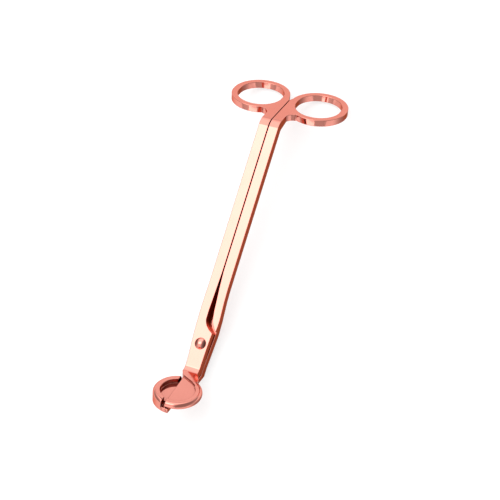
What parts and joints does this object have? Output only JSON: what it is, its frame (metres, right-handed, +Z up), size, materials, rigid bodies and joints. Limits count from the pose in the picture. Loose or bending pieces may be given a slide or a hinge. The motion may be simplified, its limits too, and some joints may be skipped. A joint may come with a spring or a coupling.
{
  "type": "wick trimmer",
  "caption": "Scissor-like trimmer for candle wicks: bent arms crossed on a rivet, finger loops at one end and a split catching dish with cutting edges at the other.",
  "frame": {"origin": "middle of the bounding box seen from above, on the table the closed trimmer lies on", "axes": "+Y along the arms towards the finger loops, +X across towards the lower arm's loop, +Z up"},
  "size_m": [0.0606, 0.1815, 0.0283],
  "materials": {
    "arm_plating": "polished rose-gold plating on steel",
    "rivet_plating": "polished rose-gold plating on steel"
  },
  "bodies": {
    "upper": {"upper_arm": "arm_plating", "pivot_rivet": "rivet_plating", "rivet_burr": "rivet_plating"},
    "lower": {"lower_arm": "arm_plating"}
  },
  "joints": [
    {"name": "pivot", "type": "hinge", "parent": "upper", "child": "lower", "pos_m": [0, -0.05248, 0.01137], "axis": [0, 0.1531, -0.9882], "range_deg": [0, 25]}
  ]
}
